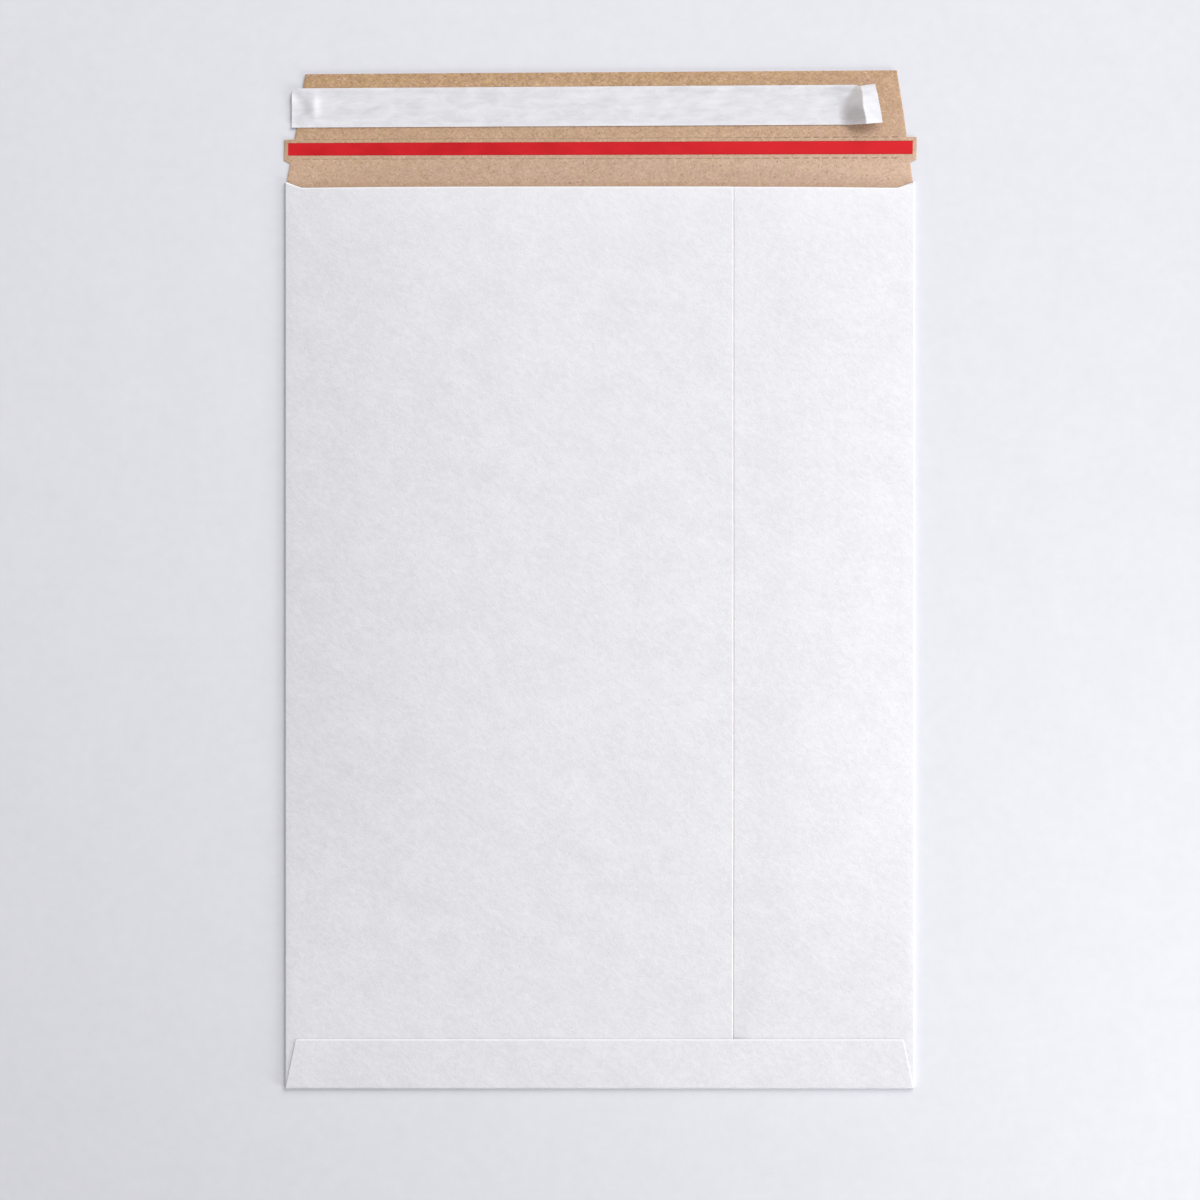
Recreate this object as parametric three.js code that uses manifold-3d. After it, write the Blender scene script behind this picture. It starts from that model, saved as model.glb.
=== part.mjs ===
// Calendar mailer envelope: a flat pocket folded and glued from one sheet of solid board, white
// outside and kraft brown inside. It lies on its address panel, seam side up, with the closing flap
// folded open so that its brown inside shows. Millimetres, +Z up. The origin is the middle of the
// address panel's underside, +X points to the right-hand side fold and +Y to the closing flap.

import * as THREE from 'three';
import { mergeVertices } from 'three/addons/utils/BufferGeometryUtils.js';
import Module from 'manifold-3d';

// Board and pocket
const BOARD = 0.6; // thickness of the solid board
const MAILER_WIDTH = 340; // from side fold to side fold
const MAILER_LENGTH = 490; // from bottom fold to flap crease
const POCKET_SLACK = 0.3; // air left over the address panel under the lapped layer
const BOW_HEIGHT = 7; // how far the front panels spring up in the middle
const BOW_FLATNESS = 2.75; // exponent of the bow: the higher, the flatter its middle
const BOW_START = 4; // flat board above the bottom flap, before the bow begins
const BOW_RUN = 170; // length over which the bow grows to its full height

// Lap seam on the front
const SEAM_INSET = 97.4; // from the right-hand side fold to the seam edge
const SEAM_LAP = 25; // how far the right panel runs on under the left one
const LAP_RECOVERY = 40; // width over which the right panel climbs back to the left one's level

// Mouth of the pocket
const MOUTH_SETBACK = 2.6; // from the flap crease down to the front panels' top edge
const MOUTH_CORNER = 9; // width of the slanted cut at each end of that edge

// Bottom flap, folded up from the address panel and glued over the front panels
const BOTTOM_FLAP_HEIGHT = 26.2;
const BOTTOM_FLAP_FOOT_INSET = 0.6; // from the side fold, at the bottom fold
const BOTTOM_FLAP_TOP_INSET = 5.6; // from the side fold, at the flap's top edge
const BOTTOM_FLAP_CORNER = 2; // radius of its two free corners

// Closing flap
const CREASE_GAP = 0.3; // between the address panel's edge and the flap
const FLAP_LENGTH = 59; // from the crease to the flap's tip
const FLAP_FOOT_INSET = 0.7; // from the side fold, at the crease
const FLAP_TIP_INSET = 10.2; // from the side fold, at the tip

// Tear strip across the closing flap, between two rows of slits
const TEAR_LINE = 12.4; // from the crease to the lower row
const TEAR_BAND = 11; // between the two rows
const TAB_REACH = 1; // how far the tear tabs stand out past the side folds
const TAB_DROP = 0.8; // how far the tab's end starts below the lower row
const TAB_HEIGHT = 10.9; // height of the tab's end
const TAB_FLARE = 1; // how much the tab widens at its root, above and below
const SLIT_LENGTH = 3.6;
const SLIT_WIDTH = 0.3;
const SLIT_PITCH = 5.3;
const SLIT_MARGIN = 2.5; // board left between the last slit and the flap's side
const TAPE_WIDTH = 7;
const TAPE_THICKNESS = 0.1;
const TAPE_END_MARGIN = 2.6; // from the tape's end to the tab's end

// Release liner over the adhesive band, with its right-hand end lifted into a finger tab
const LINER_WIDTH = 21.4;
const LINER_THICKNESS = 0.1;
const LINER_TIP_MARGIN = 7.7; // from the flap's tip to the liner's upper edge
const LINER_OVERHANG = 3.3; // past the flap's left-hand side
const LINER_END_MARGIN = 11.7; // from the finger tab's end to the flap's right-hand side
const FINGER_TAB = 8.3; // from the liner's folded crest to its end
const FINGER_TAB_LIFT = 1.2; // how high the finger tab's end stays over the flap
const CREST_HEIGHT = 4; // how high the folded crest stands
const CREST_RUN = 17; // length of liner lifted off before the crest
const CREST_SKEW = 3; // how far the crest's lower end lies to the right of its upper end
const CREST_BEND = 1.5; // exponent of the lifted stretch: the higher, the later it rises

// Adhesive band under the liner
const ADHESIVE_WIDTH = 14.4;
const ADHESIVE_THICKNESS = 0.1;
const ADHESIVE_END_MARGIN = 4; // from the flap's left-hand side to the band's end
const ADHESIVE_LIFT_MARGIN = 2; // from the band's other end to where the liner lifts off

// How finely the bent board is divided
const FOLD_STEPS = 8;
const LEFT_PANEL_STEPS = 18;
const RIGHT_PANEL_STEPS = 12;
const BOW_STEPS = 10;
const CREST_STEPS = 8;
const CORNER_STEPS = 4;

const WHITE_BOARD = 0xe8e7ec;
const KRAFT_BOARD = 0xc7a586;
const RED_TAPE = 0xcf2930;
const LINER_PAPER = 0xe2e1e6;
const CLEAR_ADHESIVE = 0xd9d2bd;

const halfWidth = MAILER_WIDTH / 2;
const halfLength = MAILER_LENGTH / 2;

// A side fold bends the board round a gap just wide enough for the lapped layer.
const foldGap = BOARD + POCKET_SLACK;
const foldRadius = BOARD + foldGap / 2;
const foldX = halfWidth - foldRadius;
const frontUnderside = BOARD + foldGap;

const seamX = halfWidth - SEAM_INSET;
const lapX = seamX - SEAM_LAP;

// The bottom fold bends round the address panel's gap and the front panels.
const bottomFoldInner = (foldGap + BOARD) / 2;
const bottomFoldRadius = bottomFoldInner + BOARD;
const bottomFoldY = -halfLength + bottomFoldRadius;
const bottomFlapTopY = -halfLength + BOTTOM_FLAP_HEIGHT;
const bowStartY = bottomFlapTopY + BOW_START;

const wasm = await Module();
wasm.setup();

function toSolid(geometry) {
  geometry.deleteAttribute('normal');
  geometry.deleteAttribute('uv');
  const merged = mergeVertices(geometry, 1e-5);
  const vertProperties = new Float32Array(merged.attributes.position.array);
  const triVerts = new Uint32Array(merged.index.array);
  return new wasm.Manifold(new wasm.Mesh({ numProp: 3, vertProperties, triVerts }));
}

function toGeometry(solid) {
  const { vertProperties, triVerts } = solid.getMesh();
  const geometry = new THREE.BufferGeometry();
  geometry.setAttribute('position', new THREE.BufferAttribute(vertProperties, 3));
  geometry.setIndex(new THREE.BufferAttribute(triVerts, 1));
  geometry.computeVertexNormals();
  return geometry;
}

function smoothStep(share) {
  const s = THREE.MathUtils.clamp(share, 0, 1);
  return s * s * (3 - 2 * s);
}

// Steps from one value to another, both ends included.
function spread(from, to, steps) {
  return Array.from({ length: steps + 1 }, (_, i) => from + ((to - from) * i) / steps);
}

// A solid through sections across Y. Each section has a Y and one outer ring of [x, z] points that
// runs anticlockwise seen along +Y, and may have an inner ring that runs the other way.
function loft(sections) {
  const positions = [];
  const index = [];
  const ringLengths = sections[0].rings.map((ring) => ring.length);
  const sectionLength = ringLengths.reduce((sum, length) => sum + length, 0);
  for (const { y, rings } of sections) {
    for (const [x, z] of rings.flat()) {
      positions.push(x, y, z);
    }
  }
  for (let s = 0; s < sections.length - 1; s += 1) {
    let ringStart = s * sectionLength;
    for (const length of ringLengths) {
      for (let i = 0; i < length; i += 1) {
        const near = ringStart + i;
        const nearNext = ringStart + ((i + 1) % length);
        const far = near + sectionLength;
        const farNext = nearNext + sectionLength;
        index.push(near, far, farNext, near, farNext, nearNext);
      }
      ringStart += length;
    }
  }
  const endCap = (section) => {
    const [outer, ...holes] = section.rings.map((ring) => ring.map(([x, z]) => new THREE.Vector2(x, z)));
    return THREE.ShapeUtils.triangulateShape(outer, holes);
  };
  for (const [a, b, c] of endCap(sections[0])) {
    index.push(a, b, c);
  }
  const last = (sections.length - 1) * sectionLength;
  for (const [a, b, c] of endCap(sections[sections.length - 1])) {
    index.push(last + a, last + c, last + b);
  }
  const geometry = new THREE.BufferGeometry();
  geometry.setAttribute('position', new THREE.Float32BufferAttribute(positions, 3));
  geometry.setIndex(index);
  geometry.computeVertexNormals();
  return geometry;
}

// A flat outline in X and Y, raised from one height to another.
function plate(outline, low, high) {
  const shape = outline instanceof THREE.Shape ? outline : new THREE.Shape(outline);
  const geometry = new THREE.ExtrudeGeometry(shape, {
    depth: high - low,
    bevelEnabled: false,
    curveSegments: CORNER_STEPS,
  });
  geometry.translate(0, 0, low);
  return geometry;
}

function point(x, y) {
  return new THREE.Vector2(x, y);
}

function mesh(name, geometry, color, roughness) {
  const material = new THREE.MeshStandardMaterial({ color, roughness, metalness: 0 });
  const part = new THREE.Mesh(geometry, material);
  part.name = name;
  return part;
}

// Height of the left panel's underside. The front panels bow up between the side folds, less and
// less towards the bottom flap that holds them down.
function panelUnderside(x, y) {
  const across = 1 - Math.abs(x / foldX) ** BOW_FLATNESS;
  const along = smoothStep((y - bowStartY) / BOW_RUN);
  return frontUnderside + BOW_HEIGHT * across * along;
}

// The right panel lies one board lower where the left one laps over it.
function rightPanelUnderside(x, y) {
  const recovered = smoothStep((x - seamX) / LAP_RECOVERY);
  return panelUnderside(x, y) - BOARD * (1 - recovered);
}

// Half-round bend of a side fold, without its two ends. It runs upwards on the right-hand side and
// downwards on the left-hand side.
function foldArc(side, radius) {
  return spread(-Math.PI / 2, Math.PI / 2, FOLD_STEPS)
    .slice(1, -1)
    .map((angle) => [
      side * (foldX + radius * Math.cos(angle)),
      foldRadius + side * radius * Math.sin(angle),
    ]);
}

// The pocket's wall at one Y: outside and inside rings with a step at each edge of the lap.
function pocketSection(y) {
  const outside = [
    [-foldX, 0],
    [foldX, 0],
    ...foldArc(1, foldRadius),
    ...spread(foldX, seamX, RIGHT_PANEL_STEPS).map((x) => [x, rightPanelUnderside(x, y) + BOARD]),
    ...spread(seamX, -foldX, LEFT_PANEL_STEPS).map((x) => [x, panelUnderside(x, y) + BOARD]),
    ...foldArc(-1, foldRadius),
  ];
  const inside = [
    [-foldX, BOARD],
    [foldX, BOARD],
    ...foldArc(1, foldGap / 2),
    ...spread(foldX, lapX, RIGHT_PANEL_STEPS).map((x) => [x, rightPanelUnderside(x, y)]),
    ...spread(lapX, -foldX, LEFT_PANEL_STEPS).map((x) => [x, panelUnderside(x, y)]),
    ...foldArc(-1, foldGap / 2),
  ];
  return { y, rings: [outside, inside.reverse()] };
}

// The bottom fold and flap as one strip, cut to the flap's outline.
function bottomFlap() {
  const legY = bottomFoldY + BOARD;
  const strip = new THREE.Shape();
  strip.moveTo(legY, 0);
  strip.lineTo(legY, BOARD);
  strip.lineTo(bottomFoldY, BOARD);
  strip.absarc(bottomFoldY, bottomFoldRadius, bottomFoldInner, -Math.PI / 2, Math.PI / 2, true);
  strip.lineTo(bottomFlapTopY, bottomFoldRadius + bottomFoldInner);
  strip.lineTo(bottomFlapTopY, 2 * bottomFoldRadius);
  strip.lineTo(bottomFoldY, 2 * bottomFoldRadius);
  strip.absarc(bottomFoldY, bottomFoldRadius, bottomFoldRadius, Math.PI / 2, (3 * Math.PI) / 2, false);
  strip.closePath();
  const stripGeometry = new THREE.ExtrudeGeometry(strip, {
    depth: MAILER_WIDTH,
    bevelEnabled: false,
    curveSegments: FOLD_STEPS,
  });
  const alongX = new THREE.Matrix4().makeBasis(
    new THREE.Vector3(0, 1, 0),
    new THREE.Vector3(0, 0, 1),
    new THREE.Vector3(1, 0, 0),
  );
  stripGeometry.applyMatrix4(alongX).translate(-halfWidth, 0, 0);

  const foot = halfWidth - BOTTOM_FLAP_FOOT_INSET;
  const top = halfWidth - BOTTOM_FLAP_TOP_INSET;
  const slant = new THREE.Vector2(foot - top, -BOTTOM_FLAP_HEIGHT).setLength(BOTTOM_FLAP_CORNER);
  const outline = new THREE.Shape();
  outline.moveTo(-foot, -halfLength - BOARD);
  outline.lineTo(foot, -halfLength - BOARD);
  outline.lineTo(foot, -halfLength);
  outline.lineTo(top + slant.x, bottomFlapTopY + slant.y);
  outline.quadraticCurveTo(top, bottomFlapTopY, top - BOTTOM_FLAP_CORNER, bottomFlapTopY);
  outline.lineTo(BOTTOM_FLAP_CORNER - top, bottomFlapTopY);
  outline.quadraticCurveTo(-top, bottomFlapTopY, -top - slant.x, bottomFlapTopY + slant.y);
  outline.lineTo(-foot, -halfLength);
  outline.closePath();
  const trim = plate(outline, -BOARD, 2 * bottomFoldRadius + BOARD);
  return toSolid(stripGeometry).intersect(toSolid(trim));
}

// What is cut off the front panels so that the mouth lies below the flap crease, with slanted ends.
function mouthCut() {
  const beyond = MOUTH_CORNER;
  const slope = MOUTH_SETBACK / MOUTH_CORNER;
  const sideX = halfWidth + beyond;
  const sideY = halfLength + beyond * slope;
  const mouthX = halfWidth - MOUTH_CORNER;
  const mouthY = halfLength - MOUTH_SETBACK;
  const aboveY = sideY + beyond;
  const outline = [
    point(-sideX, sideY),
    point(-mouthX, mouthY),
    point(mouthX, mouthY),
    point(sideX, sideY),
    point(sideX, aboveY),
    point(-sideX, aboveY),
  ];
  return toSolid(plate(outline, foldRadius, frontUnderside + BOW_HEIGHT + 2 * BOARD));
}

function mailerBody() {
  const sectionYs = [bottomFoldY, ...spread(bowStartY, bowStartY + BOW_RUN, BOW_STEPS), halfLength];
  const pocket = toSolid(loft(sectionYs.map(pocketSection)));
  return toGeometry(pocket.subtract(mouthCut()).add(bottomFlap()));
}

// From here on Y is measured from the crease's edge of the closing flap.
function flapHalfWidth(y) {
  const inset = FLAP_FOOT_INSET + ((FLAP_TIP_INSET - FLAP_FOOT_INSET) * y) / FLAP_LENGTH;
  return halfWidth - inset;
}

const tabX = halfWidth + TAB_REACH;

function slitRow(y) {
  const reach = flapHalfWidth(y) - SLIT_MARGIN - SLIT_LENGTH / 2;
  const slitsEachSide = Math.floor(reach / SLIT_PITCH);
  return spread(-slitsEachSide, slitsEachSide, 2 * slitsEachSide).map((place) =>
    new THREE.BoxGeometry(SLIT_LENGTH, SLIT_WIDTH, 4 * BOARD).translate(place * SLIT_PITCH, y, 0),
  );
}

function closingFlap() {
  const tabLow = TEAR_LINE - TAB_DROP;
  const tabHigh = tabLow + TAB_HEIGHT;
  const rightSide = [
    point(flapHalfWidth(0), 0),
    point(flapHalfWidth(tabLow - TAB_FLARE), tabLow - TAB_FLARE),
    point(tabX, tabLow),
    point(tabX, tabHigh),
    point(flapHalfWidth(tabHigh + TAB_FLARE), tabHigh + TAB_FLARE),
    point(flapHalfWidth(FLAP_LENGTH), FLAP_LENGTH),
  ];
  const leftSide = rightSide.map(({ x, y }) => point(-x, y)).reverse();
  const board = toSolid(plate([...rightSide, ...leftSide], 0, BOARD));
  const slits = [...slitRow(TEAR_LINE), ...slitRow(TEAR_LINE + TEAR_BAND)];
  return toGeometry(slits.reduce((rest, slit) => rest.subtract(toSolid(slit)), board));
}

// A straight strip stuck on the flap's inside.
function strip(left, right, middleY, width, low, thickness) {
  const geometry = new THREE.BoxGeometry(right - left, width, thickness);
  return geometry.translate((left + right) / 2, middleY, low + thickness / 2);
}

function tearTape() {
  const end = tabX - TAPE_END_MARGIN;
  return strip(-end, end, TEAR_LINE + TEAR_BAND / 2, TAPE_WIDTH, BOARD, TAPE_THICKNESS);
}

const linerHigh = FLAP_LENGTH - LINER_TIP_MARGIN;
const linerLow = linerHigh - LINER_WIDTH;
const linerMiddle = (linerLow + linerHigh) / 2;
const fingerTabX = flapHalfWidth(linerMiddle) - LINER_END_MARGIN;
const crestX = fingerTabX - FINGER_TAB;
const liftX = crestX - CREST_RUN;

function adhesiveBand() {
  const left = -flapHalfWidth(linerMiddle) + ADHESIVE_END_MARGIN;
  const right = liftX - ADHESIVE_LIFT_MARGIN;
  return strip(left, right, linerMiddle, ADHESIVE_WIDTH, BOARD, ADHESIVE_THICKNESS);
}

// The liner's section at one of its long edges: flat, then rising to the crest, then down the tab.
function linerSection(y) {
  const seat = BOARD + ADHESIVE_THICKNESS;
  const skew = (CREST_SKEW * (linerMiddle - y)) / LINER_WIDTH;
  const underside = [
    [-flapHalfWidth(linerMiddle) - LINER_OVERHANG, seat],
    ...spread(0, 1, CREST_STEPS).map((share) => [
      liftX + CREST_RUN * share + skew * share,
      seat + CREST_HEIGHT * share ** CREST_BEND,
    ]),
    [fingerTabX + skew, seat + FINGER_TAB_LIFT],
  ];
  const upperSide = underside.map(([x, z]) => [x, z + LINER_THICKNESS]).reverse();
  return { y, rings: [[...underside, ...upperSide]] };
}

function releaseLiner() {
  return loft([linerSection(linerLow), linerSection(linerHigh)]);
}

const flap = new THREE.Group();
flap.position.set(0, halfLength + CREASE_GAP, 0);
flap.add(
  mesh('closing_flap', closingFlap(), KRAFT_BOARD, 0.85),
  mesh('tear_tape', tearTape(), RED_TAPE, 0.4),
  mesh('adhesive_band', adhesiveBand(), CLEAR_ADHESIVE, 0.3),
  mesh('release_liner', releaseLiner(), LINER_PAPER, 0.5),
);

const mailer = new THREE.Group();
mailer.add(mesh('mailer_body', mailerBody(), WHITE_BOARD, 0.8), flap);

export default mailer;
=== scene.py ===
import math

import bpy
import numpy as np
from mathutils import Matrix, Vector


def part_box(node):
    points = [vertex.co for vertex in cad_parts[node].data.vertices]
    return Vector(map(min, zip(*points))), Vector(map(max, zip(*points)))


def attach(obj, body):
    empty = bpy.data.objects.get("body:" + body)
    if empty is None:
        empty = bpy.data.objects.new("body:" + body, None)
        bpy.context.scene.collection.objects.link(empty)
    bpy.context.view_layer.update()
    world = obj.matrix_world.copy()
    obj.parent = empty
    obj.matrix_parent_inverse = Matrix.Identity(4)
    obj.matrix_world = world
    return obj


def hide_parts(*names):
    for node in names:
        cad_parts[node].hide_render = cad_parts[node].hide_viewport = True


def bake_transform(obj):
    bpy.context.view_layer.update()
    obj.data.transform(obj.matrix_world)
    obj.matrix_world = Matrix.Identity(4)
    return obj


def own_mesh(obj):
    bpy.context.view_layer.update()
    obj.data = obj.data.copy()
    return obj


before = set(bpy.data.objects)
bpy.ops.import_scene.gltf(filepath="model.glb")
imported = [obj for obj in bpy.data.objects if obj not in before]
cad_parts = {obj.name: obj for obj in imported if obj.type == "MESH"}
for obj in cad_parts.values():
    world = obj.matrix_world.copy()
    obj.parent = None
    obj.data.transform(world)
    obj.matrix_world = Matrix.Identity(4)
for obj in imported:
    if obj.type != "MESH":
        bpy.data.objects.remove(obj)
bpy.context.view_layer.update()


# The pocket: one die-cut sheet of 450 gram solid board, bleached white outside and kraft brown inside.
# It is bent round at both sides, lapped and glued down the front, and closed at the bottom by a flap
# that is folded up and glued over the front panels. The empty front springs up between the side folds.

MM = 0.001
BOARD = 0.6 * MM
POCKET_SLACK = 0.3 * MM
GLUE = 0.02 * MM
BOW_FLATNESS = 2.75
BOW_RUN = 170 * MM
BOW_START = 4 * MM
WAVER = 0.12 * MM
WAVER_ONE_X = 31 * MM
WAVER_ONE_Y = 43 * MM
WAVER_TWO_X = 58 * MM
WAVER_TWO_Y = 27 * MM
WAVER_TWO_START = 1
SEAM_INSET = 98 * MM
SEAM_LAP = 25 * MM
SEAM_GROOVE = 0.25 * MM
SEAM_GROOVE_REACH = 0.8 * MM
LAP_RECOVERY = 40 * MM
LAP_RECOVERY_LOW = 10 * MM
LAP_SPRING = 60 * MM
MOUTH_SETBACK = 3.4 * MM
MOUTH_CORNER = 9 * MM
MOUTH_CUT_LEAN = 0.4 * MM
BOTTOM_FLAP_HEIGHT = 26.8 * MM
BOTTOM_FLAP_FOOT_INSET = 0.3 * MM
BOTTOM_FLAP_TOP_INSET = 5.9 * MM
BOTTOM_FLAP_CORNER = 1.2 * MM
FOLD_DEPTH = 0.7 * MM
BOTTOM_FOLD_DEPTH = 0.8 * MM
BEAD_HEIGHT = 0.06 * MM
BEAD_REACH = 0.9 * MM
EDGE_DROP = 0.42 * MM
EDGE_REACH = 0.9 * MM
EDGE_ROUNDING = 1.4
SEAM_EDGE_DROP = 0.24 * MM
SEAM_EDGE_REACH = 0.5 * MM
# Reaches of the painted highlight on the cut rims, and of the painted light towards the mouth.
RIM_PAINTED_HIGHLIGHT_REACH = 1.2 * MM
MOUTH_PAINTED_LIGHT = 0.22
MOUTH_PAINTED_LIGHT_REACH = 30 * MM

pocket_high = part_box("mailer_body")[1]
half_width = pocket_high.x
half_length = pocket_high.y
fold_gap = BOARD + POCKET_SLACK
fold_radius = BOARD + fold_gap / 2
fold_x = half_width - FOLD_DEPTH
front_underside = BOARD + fold_gap
bow_height = pocket_high.z - front_underside - BOARD
seam_x = half_width - SEAM_INSET
lap_x = seam_x - SEAM_LAP
bottom_bend_inside = (fold_gap + BOARD + GLUE) / 2
bottom_bend_outside = bottom_bend_inside + BOARD
bottom_bend_y = -half_length + BOTTOM_FOLD_DEPTH
bottom_flap_top = -half_length + BOTTOM_FLAP_HEIGHT
bow_start_y = bottom_flap_top + BOW_START


class Level:
    """A number that changes over a surface, with Python's operators."""

    def __init__(self, finish, socket):
        self.finish = finish
        self.socket = socket

    def maths(self, operation, *values):
        return self.finish.node("ShaderNodeMath", {"operation": operation}, dict(enumerate(values)))

    def __add__(self, other):
        return self.maths("ADD", self, other)

    def __radd__(self, other):
        return self.maths("ADD", other, self)

    def __sub__(self, other):
        return self.maths("SUBTRACT", self, other)

    def __rsub__(self, other):
        return self.maths("SUBTRACT", other, self)

    def __mul__(self, other):
        return self.maths("MULTIPLY", self, other)

    def __rmul__(self, other):
        return self.maths("MULTIPLY", other, self)

    def __abs__(self):
        return self.maths("ABSOLUTE", self)


class Finish:
    """A material or a Geometry Nodes tree, built node by node."""

    def __init__(self, tree):
        self.tree = tree

    def node(self, kind, settings=None, inputs=None, output=0):
        """Adds a node. A list of values links each of them to the same socket."""
        made = self.tree.nodes.new(kind)
        for name, value in (settings or {}).items():
            setattr(made, name, value)
        for name, value in (inputs or {}).items():
            for one in value if isinstance(value, list) else [value]:
                if isinstance(one, Level):
                    self.tree.links.new(one.socket, made.inputs[name])
                else:
                    made.inputs[name].default_value = one
        return Level(self, made.outputs[output]) if made.outputs else None

    def place(self):
        return self.node("ShaderNodeTexCoord", output="Object")

    def along(self, axis, place):
        """How far a place lies along the mailer's X or Y."""
        return self.node("ShaderNodeSeparateXYZ", inputs={"Vector": place}, output=axis)

    def marked(self, name):
        """A mark that the piece's own points carry."""
        return self.node("ShaderNodeAttribute", {"attribute_name": name}, output="Fac")

    def turned(self, place, degrees, stretch):
        """A place turned about the board's normal, and stretched along its turned X."""
        turn = (0, 0, math.radians(degrees))
        return self.node(
            "ShaderNodeMapping",
            {"vector_type": "TEXTURE"},
            {"Vector": place, "Rotation": turn, "Scale": (stretch, 1, 1)},
        )

    def grain(self, place, size, detail=3, roughness=0.55, crinkle=0):
        """Noise around one half, whose features are about this many metres across."""
        inputs = {"Vector": place, "Scale": 1 / size, "Detail": detail, "Roughness": roughness}
        return self.node("ShaderNodeTexNoise", inputs={**inputs, "Distortion": crinkle}, output="Fac")

    def step(self, level, low, high):
        """Zero below low, one above high, and a soft step between them."""
        return self.node(
            "ShaderNodeMapRange",
            {"interpolation_type": "SMOOTHSTEP"},
            {"Value": level, "From Min": low, "From Max": high},
        )

    def mix(self, level, first, second):
        colours = [colour if isinstance(colour, Level) else (*colour, 1) for colour in (first, second)]
        inputs = {0: level, 6: colours[0], 7: colours[1]}
        return self.node("ShaderNodeMix", {"data_type": "RGBA"}, inputs, 2)

    def bump(self, height, depth, strength):
        inputs = {"Height": height, "Distance": depth, "Strength": strength}
        return self.node("ShaderNodeBump", inputs=inputs)


def material(name):
    made = bpy.data.materials.new(name)
    made.use_nodes = True
    made.node_tree.nodes.clear()
    return made, Finish(made.node_tree)


def surface(finish, **inputs):
    """Ends a material in one Principled shader, whose sockets are named with underlines for spaces."""
    named = {}
    for name, value in inputs.items():
        named[name.replace("_", " ").title().replace("Ior", "IOR")] = value
    shader = finish.node("ShaderNodeBsdfPrincipled", inputs=named)
    finish.node("ShaderNodeOutputMaterial", inputs={"Surface": shader})


FELT_SLANT = -36
FELT_RIDGE = 2.4 * MM
FELT_CLOUD = 14 * MM
WHITE_TOOTH = 0.8 * MM
DARK_FIBRE = 0.9 * MM
WHITE_SHADE = (0.72, 0.709, 0.744)
WHITE_LIGHT = (0.86, 0.848, 0.877)
DARK_FIBRE_COLOUR = (0.42, 0.38, 0.36)
PAINTED_RIM_HIGHLIGHT = (0.96, 0.955, 0.975)


def white_board_finish():
    """Bleached outer ply: matt, embossed by the felt in slanting ridges, with a few dark fibres.

    Its rims, and the front panels near the mouth, carry a painted highlight that is whiter than the
    board.
    """
    made, finish = material("white_board")
    place = finish.place()
    ridged = finish.turned(place, FELT_SLANT, stretch=1.6)
    clouded = finish.turned(place, FELT_SLANT, stretch=1.5)
    felt = finish.grain(ridged, FELT_RIDGE, detail=4, roughness=0.7, crinkle=0.5)
    cloud = finish.grain(clouded, FELT_CLOUD, detail=3, roughness=0.6)
    tooth = finish.grain(place, WHITE_TOOTH, detail=2)
    fibre = finish.step(finish.grain(place, DARK_FIBRE, detail=1), low=0.79, high=0.83)
    tone = finish.step(0.48 * felt + 0.25 * cloud + 0.27 * tooth, low=0.27, high=0.73)
    paper = finish.mix(fibre, finish.mix(tone, WHITE_SHADE, WHITE_LIGHT), DARK_FIBRE_COLOUR)
    surface(
        finish,
        # Painted highlight on the rims, and painted light towards the mouth.
        base_color=finish.mix(finish.marked("rim"), paper, PAINTED_RIM_HIGHLIGHT),
        roughness=0.68 + 0.22 * tooth,
        specular_ior_level=0.25,
        normal=finish.bump(0.6 * felt + 0.4 * tooth, depth=0.32 * MM, strength=0.6),
    )
    return made


KRAFT_FIBRE_ONE = 0.9 * MM
KRAFT_FIBRE_TWO = 0.8 * MM
KRAFT_CLOUD = 7 * MM
KRAFT_HUE = 4.5 * MM
SHIVE = 0.9 * MM
HAIR = 0.7 * MM
# Painted light and shade on the kraft: paler near the crease and on the right, darker towards the tip
# and on the left.
CREASE_PAINTED_LIGHT_REACH = 30 * MM
LEFT_FULL, LEFT_END = -140 * MM, -20 * MM
RIGHT_START, RIGHT_FULL = 30 * MM, 150 * MM
KRAFT_SHADE = (0.370, 0.246, 0.170)
KRAFT_SHADE_TIP_PAINTED_DARKER = (0.232, 0.124, 0.052)
KRAFT_SHADE_CREASE_PAINTED_PALER = (0.462, 0.313, 0.214)
KRAFT_LIGHT = (0.745, 0.531, 0.400)
KRAFT_LIGHT_TIP_PAINTED_DARKER = (0.730, 0.486, 0.290)
KRAFT_LIGHT_CREASE_PAINTED_PALER = (0.862, 0.628, 0.478)
KRAFT_PINK = (0.66, 0.38, 0.29)
KRAFT_YELLOW = (0.62, 0.43, 0.22)
KRAFT_PAINTED_SHADE_LEFT = (0.40, 0.20, 0.05)
KRAFT_PAINTED_LIGHT_RIGHT = (0.81, 0.56, 0.48)
SHIVE_COLOUR = (0.20, 0.115, 0.065)
HAIR_COLOUR = (0.86, 0.68, 0.53)


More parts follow.
